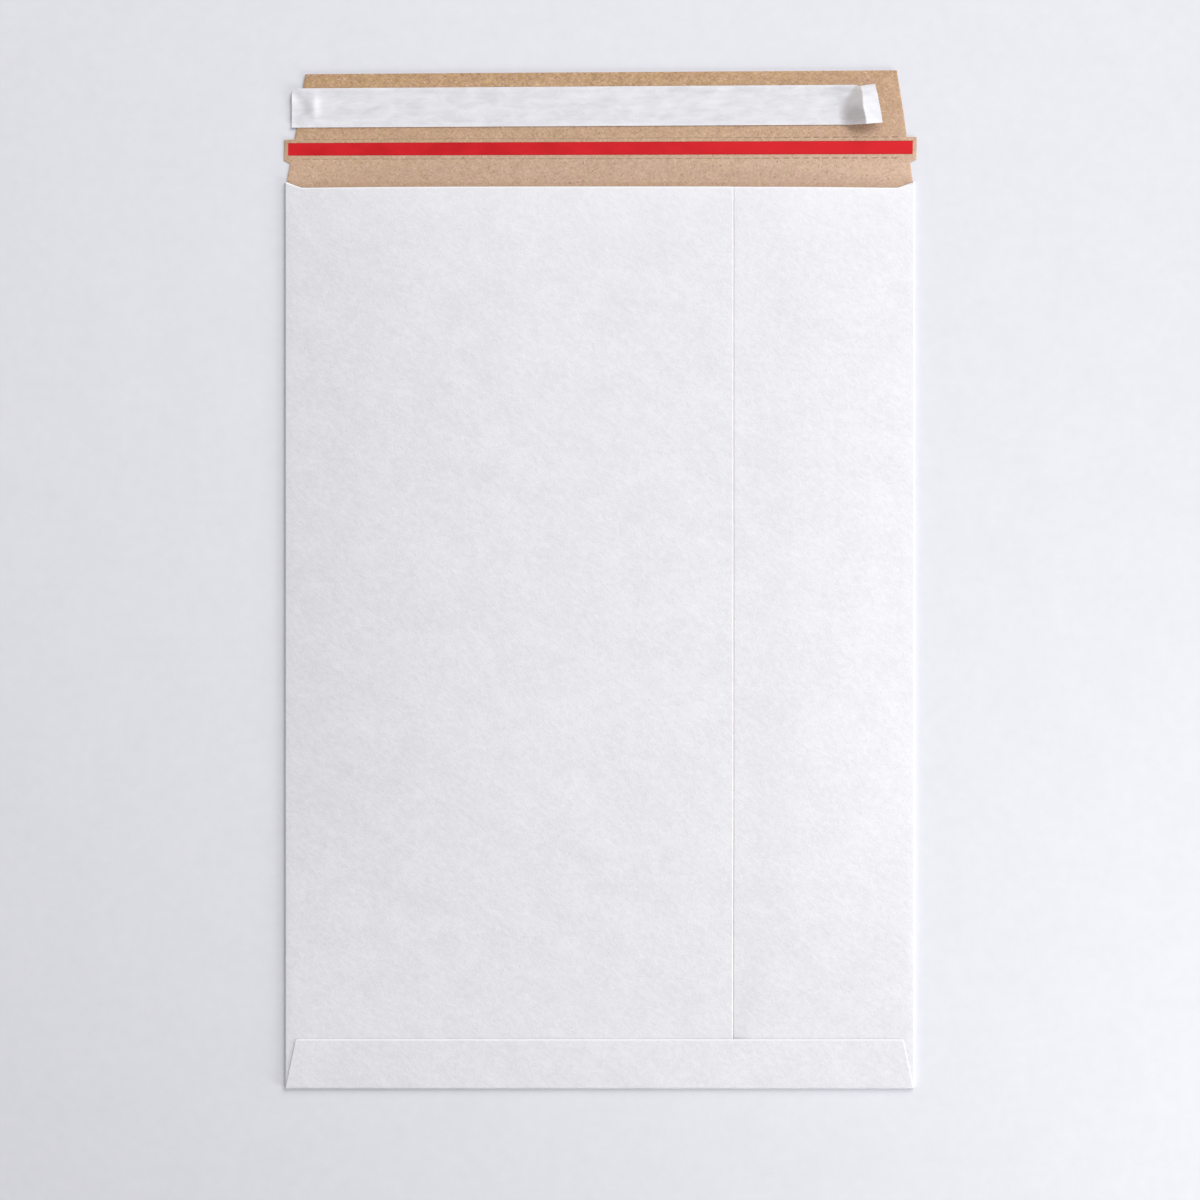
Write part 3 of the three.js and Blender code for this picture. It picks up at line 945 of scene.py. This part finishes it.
LINER_THICKNESS = 0.1 * MM
LINER_EXTRA = 1.1 * MM
LINER_CORNER = 3.4 * MM
FINGER_TAB = 10 * MM
TAB_TRIM = 0.7 * MM
TAB_SKEW = 3.8 * MM
TAB_END_LOW = 5.2 * MM
TAB_END_HIGH = 0.6 * MM
TAB_TURN = 0.4 * MM
TAB_FALL = 0.8
TAB_CRINKLE = 0.35 * MM
TAB_CRINKLE_ALONG = 2.1 * MM
TAB_CRINKLE_ACROSS = 1.4 * MM
CREST_SKEW = 2.7 * MM
CREST_RIPPLE = 0.35 * MM
CREST_RIPPLE_TURN = 9
CREST_RIPPLE_START = 0.6
CREST_LOW = 8 * MM
CREST_HIGH = 0.8 * MM
CREST_TURN = -0.7 * MM
LIFT_RUN_LOW = 15 * MM
LIFT_RUN_HIGH = 2.5 * MM
LIFT_FADE = 2.7
GLUE_EDGE_RUN = 0.7 * MM
GLUE_WAVE = 0.3 * MM
GLUE_WAVE_LENGTH = 11 * MM
GLUE_RIPPLE = 0.15 * MM
GLUE_RIPPLE_LENGTH = 4.3 * MM
FLUTTER = 0.06 * MM
FLUTTER_LENGTH = 7.3 * MM
FLUTTER_SWELL_LENGTH = 19 * MM
FLUTTER_SWELL_START = 1
HIGH_MARGIN_LIFT = 0.3 * MM
HIGH_MARGIN_ARCH = 2.6
LOW_MARGIN_LIFT = 0.35 * MM
END_CURL = 0.35 * MM
END_CURL_REACH = 4.2 * MM
END_CURL_PITCH = 8.7 * MM
END_CURL_SWING = 0.6
END_CURL_SHARE = 0.32
HUMP_HEIGHT = 1.5 * MM
HUMP_PLACE = 11.8 * MM
HUMP_RISE = 4.2 * MM
HUMP_FALL = 2.6 * MM
HUMP_WIDTH = 5.6 * MM
HUMP_SHARE = 0.54
WRINKLE = 0.1 * MM
WRINKLE_ALONG = 1.5 * MM
WRINKLE_ACROSS = 2.3 * MM
WRINKLE_REACH = 16 * MM
LINER_BLOTCH = 5 * MM
LINER_LINE = 1.6 * MM
LINER_TOOTH = 0.6 * MM
LINER_SHADE = (0.66, 0.65, 0.685)
LINER_LIGHT = (0.835, 0.825, 0.86)
# Painted shade for the slope where the liner lifts off the flap.
LINER_PAINTED_SHADE = (0.52, 0.45, 0.41)

liner_low, liner_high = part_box("release_liner")
liner_low.x -= LINER_EXTRA
liner_width = liner_high.y - liner_low.y
hump_y = liner_low.y + HUMP_SHARE * liner_width
curl_y = liner_low.y + END_CURL_SHARE * liner_width


def liner_finish():
    """Siliconed paper: white with a light sheen, and blotched where it lies unevenly on the glue.

    On the slope where it lifts off the flap, it carries painted shade, darker and warmer.
    """
    made, finish = material("liner_paper")
    place = finish.place()
    blotched = finish.turned(place, 4, stretch=2.2)
    blotch = finish.grain(blotched, LINER_BLOTCH, detail=3, roughness=0.55, crinkle=0.5)
    line = finish.grain(finish.turned(place, 0, stretch=14), LINER_LINE, detail=2)
    tooth = finish.grain(place, LINER_TOOTH, detail=2)
    tone = finish.step(0.6 * blotch + 0.15 * line + 0.25 * tooth, low=0.25, high=0.75)
    paper = finish.mix(tone, LINER_SHADE, LINER_LIGHT)
    surface(
        finish,
        # Painted shade, darker and warmer, on the slope where the liner lifts off the flap.
        base_color=finish.mix(0.47 * finish.marked("lifted"), paper, LINER_PAINTED_SHADE),
        roughness=0.42 + 0.2 * blotch,
        specular_ior_level=0.3,
        normal=finish.bump(0.75 * blotch + 0.25 * line, depth=0.42 * MM, strength=0.5),
    )
    return made


# Plan of the strip, in three stretches: flat on the glue, lifting up to the crest, and the bent tab.
across = np.linspace(0, 1, 43)[:, None]
flat_shares = np.concatenate([np.linspace(0, 0.1, 43), np.linspace(0.1, 1, 121)[1:]])
lift_shares = np.linspace(0, 1, 31)[1:]
tab_shares = np.linspace(0, 1, 17)[1:]
crest_ripple = CREST_RIPPLE * np.sin(CREST_RIPPLE_TURN * across + CREST_RIPPLE_START)
crest = liner_high.x - FINGER_TAB - CREST_SKEW * across + crest_ripple
tab_end = liner_high.x - TAB_TRIM - TAB_SKEW * across
lift_fade = across**LIFT_FADE
lift_run = LIFT_RUN_LOW + (LIFT_RUN_HIGH - LIFT_RUN_LOW) * lift_fade
corner = np.clip((across - 1) * liner_width / LINER_CORNER + 1, 0, 1)
left_end = liner_low.x + LINER_CORNER * (1 - np.sqrt(1 - corner**2))
flat_x = left_end + flat_shares * (crest - lift_run - left_end)
lift_x = crest - lift_run + lift_run * lift_shares
tab_x = crest + tab_shares * (tab_end - crest)
liner_x = np.concatenate([flat_x, lift_x, tab_x], axis=1)
lifted = np.concatenate([0 * flat_shares, lift_shares, 1 + 0 * tab_shares])
bent = np.concatenate([0 * flat_shares, 0 * lift_shares, tab_shares])
turn = CREST_TURN * smooth_step(lifted) * (1 - bent) + TAB_TURN * bent
flat_y = liner_low.y + liner_width * across
liner_y = flat_y + turn
# Where the painted shade lies: on the slope that lifts off the flap, up to the crest, and not on the
# tab.
slope_painted_shade = smooth_step(2 * lifted) * (bent == 0)

# The finger tab leaves the flap in a bend over half its lift, runs straight up to the crest, and drops.
crest_height = CREST_LOW + (CREST_HIGH - CREST_LOW) * lift_fade
tab_end_height = TAB_END_LOW + (TAB_END_HIGH - TAB_END_LOW) * lift_fade
curve = np.clip(2 * lifted, 0, 1)
climb = (2 * curve**3 - curve**4 + 4 * np.clip(lifted - 0.5, 0, 1)) / 3
crinkle = TAB_CRINKLE * np.sin(liner_y / TAB_CRINKLE_ACROSS + liner_x / TAB_CRINKLE_ALONG)
crinkle = crinkle * bent * (1 - bent / 2)
tab_rise = crest_height * climb - (crest_height - tab_end_height) * bent**TAB_FALL + crinkle

# The flat stretch steps up onto the glue along two wavy lines, and its free margins lift and flutter.
glue_wave = GLUE_WAVE * (1 + np.sin(liner_x / GLUE_WAVE_LENGTH))
glue_wave = glue_wave + GLUE_RIPPLE * np.sin(liner_x / GLUE_RIPPLE_LENGTH)
on_glue = smooth_step((liner_y - adhesive_low.y + glue_wave) / GLUE_EDGE_RUN + 1)
on_glue = on_glue * smooth_step((adhesive_high.y + glue_wave - liner_y) / GLUE_EDGE_RUN + 1)
swell = np.sin(liner_x / FLUTTER_SWELL_LENGTH + FLUTTER_SWELL_START)
flutter = FLUTTER * (1 + np.sin(liner_x / FLUTTER_LENGTH) * swell) * np.abs(2 * across - 1) ** 3
high_margin = np.clip((flat_y - adhesive_high.y) / (liner_high.y - adhesive_high.y), 0, 1)
low_margin = np.clip((adhesive_low.y - flat_y) / (adhesive_low.y - liner_low.y), 0, 1)
margin_lift = HIGH_MARGIN_LIFT * HIGH_MARGIN_ARCH * high_margin * (1 - high_margin**2)
margin_lift = margin_lift + LOW_MARGIN_LIFT * low_margin**3

# The left end is crumpled: a hump, a curled cut end, and wrinkles that die out to the right.
from_left = liner_x - liner_low.x
hump_side = np.where(from_left < HUMP_PLACE, HUMP_RISE, HUMP_FALL)
hump_along = (from_left - HUMP_PLACE) / hump_side
hump_across = (liner_y - hump_y) / HUMP_WIDTH
hump = np.exp(-(hump_along**2) - hump_across**2)
end_curl = np.clip(1 - from_left / END_CURL_REACH, 0, 1) ** 2
end_curl = end_curl * (1 + END_CURL_SWING * np.cos(math.tau * (liner_y - curl_y) / END_CURL_PITCH))
wrinkle = WRINKLE * np.sin(liner_x / WRINKLE_ALONG + liner_y / WRINKLE_ACROSS)
wrinkle = wrinkle * (1 - smooth_step(from_left / WRINKLE_REACH))
crumple = HUMP_HEIGHT * hump + END_CURL * end_curl + wrinkle

liner_under = BOARD + flap_lift(np.minimum(liner_y, flap_tip)) + ADHESIVE_THICKNESS * on_glue
liner_under = liner_under + flutter + margin_lift + tab_rise + crumple
liner_place = on_flap(liner_x, liner_y)
liner_paper = liner_finish()
liner = sheet_piece(
    "release_liner_paper",
    layer(*liner_place, liner_under + LINER_THICKNESS),
    layer(*liner_place, liner_under),
    np.ones((liner_x.shape[0] - 1, liner_x.shape[1] - 1), bool),
    [liner_paper, liner_paper, liner_paper],
    # The mark named lifted carries the painted shade on the lifting slope.
    lifted=np.broadcast_to(slope_painted_shade, liner_x.shape),
)
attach(liner, "flap")
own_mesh(liner)
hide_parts("release_liner")


# The table: a broad pale top, sprayed matt, that the mailer lies on. It is not part of the mailer.
# It reaches far enough to fill every view, and away from the mailer it looks as pale as the room.

TABLE_SIDE = 8
TABLE_GAP = 0.05 * MM
NEAR_TABLE = 0.42
FAR_TABLE = 0.85
TABLE_CLOUD = 30 * MM
TABLE_TOOTH = 7 * MM
TABLE_SHADE = (0.725, 0.72, 0.77)
TABLE_LIGHT = (0.825, 0.82, 0.865)
SURROUNDINGS = (0.78, 0.775, 0.835, 1)


def seen(finish):
    """One for rays that show a thing to the camera, straight or in a reflection, and zero for light."""
    kinds = ("Is Camera Ray", "Is Glossy Ray", "Is Transmission Ray")
    camera, glossy, transmission = [finish.node("ShaderNodeLightPath", output=kind) for kind in kinds]
    return camera + glossy + transmission


def table_finish():
    """Pale matt top with a barely visible mottle."""
    made, finish = material("table_top")
    place = finish.place()
    cloud = finish.grain(place, TABLE_CLOUD, detail=4)
    tooth = finish.grain(place, TABLE_TOOTH, detail=4, roughness=0.6)
    paint = finish.mix(0.4 * cloud + 0.6 * tooth, TABLE_SHADE, TABLE_LIGHT)
    top = finish.node("ShaderNodeBsdfPrincipled", inputs={"Base Color": paint, "Roughness": 0.9})
    pale = finish.node("ShaderNodeEmission", inputs={"Color": SURROUNDINGS})
    distance = finish.node("ShaderNodeVectorMath", {"operation": "LENGTH"}, {0: place}, "Value")
    far = finish.step(distance, NEAR_TABLE, FAR_TABLE)
    shown = finish.node("ShaderNodeMixShader", inputs={0: far * seen(finish), 1: top, 2: pale})
    finish.node("ShaderNodeOutputMaterial", inputs={"Surface": shown})
    return made


table_half = TABLE_SIDE / 2
table_corners = [
    (x * table_half, y * table_half, -TABLE_GAP) for x, y in ((-1, -1), (1, -1), (1, 1), (-1, 1))
]
table_mesh = bpy.data.meshes.new("table_top")
table_mesh.from_pydata(table_corners, [], [(0, 1, 2, 3)])
table_mesh.materials.append(table_finish())
table_top = bpy.data.objects.new("table_top", table_mesh)
bpy.context.collection.objects.link(table_top)


# The light: a pale room, a broad softbox above the upper right corner, and a small low one beside the
# lower right corner, which brightens the folds there and brings out the board's grain. Both are aimed
# at the mailer's middle, and a grid keeps the low one's light off the table in front of it.

ROOM_COLOUR = (0.97, 0.98, 1, 1)
ROOM_LIGHT = 0.42
KEY_DISTANCE = 3
KEY_HEIGHT = math.radians(42)
KEY_BEARING = math.radians(52)
KEY_SIDE = 2.2
KEY_POWER = 70
FILL_DISTANCE = 1.4
FILL_HEIGHT = math.radians(15)
FILL_BEARING = math.radians(-34)
FILL_SIDE = 0.5
FILL_POWER = 1.65
FILL_SPREAD = math.radians(60)

world = bpy.data.worlds.new("room")
world.use_nodes = True
world.node_tree.nodes.clear()
room = Finish(world.node_tree)
lit = room.node("ShaderNodeBackground", inputs={"Color": ROOM_COLOUR, "Strength": ROOM_LIGHT})
pale = room.node("ShaderNodeBackground", inputs={"Color": SURROUNDINGS})
shown = room.node("ShaderNodeMixShader", inputs={0: seen(room), 1: lit, 2: pale})
room.node("ShaderNodeOutputWorld", inputs={"Surface": shown})
bpy.context.scene.world = world


def softbox(name, distance, height, bearing, side, power):
    """A square lamp at this distance, height angle and bearing, aimed at the mailer's middle."""
    lamp = bpy.data.lights.new(name, "AREA")
    lamp.size = side
    lamp.energy = power
    box = bpy.data.objects.new(name, lamp)
    bpy.context.collection.objects.link(box)
    reach = distance * math.cos(height)
    place = (reach * math.cos(bearing), reach * math.sin(bearing), distance * math.sin(height))
    box.location = place
    box.rotation_euler = (-Vector(place)).to_track_quat("-Z", "Y").to_euler()
    box.visible_camera = False
    return box


softbox("key_softbox", KEY_DISTANCE, KEY_HEIGHT, KEY_BEARING, KEY_SIDE, KEY_POWER)
fill = softbox("fill_softbox", FILL_DISTANCE, FILL_HEIGHT, FILL_BEARING, FILL_SIDE, FILL_POWER)
fill.data.spread = FILL_SPREAD
fill.visible_glossy = False


# The camera: straight above the mailer, with a long lens, so that the mailer fills the frame as it
# does in the photograph. The frame's side is measured at the height of the side folds.

SENSOR = 36
LENS = 100
FRAME_SIDE = 648.7 * MM
FRAME_CENTRE = (0.14 * MM, 19 * MM)
FOLD_HEIGHT = 1 * MM

camera_data = bpy.data.cameras.new("camera")
camera_data.sensor_width = SENSOR
camera_data.lens = LENS
camera = bpy.data.objects.new("camera", camera_data)
bpy.context.collection.objects.link(camera)
camera.location = (*FRAME_CENTRE, FOLD_HEIGHT + FRAME_SIDE * LENS / SENSOR)
bpy.context.scene.camera = camera
bpy.context.scene.view_settings.view_transform = "Standard"
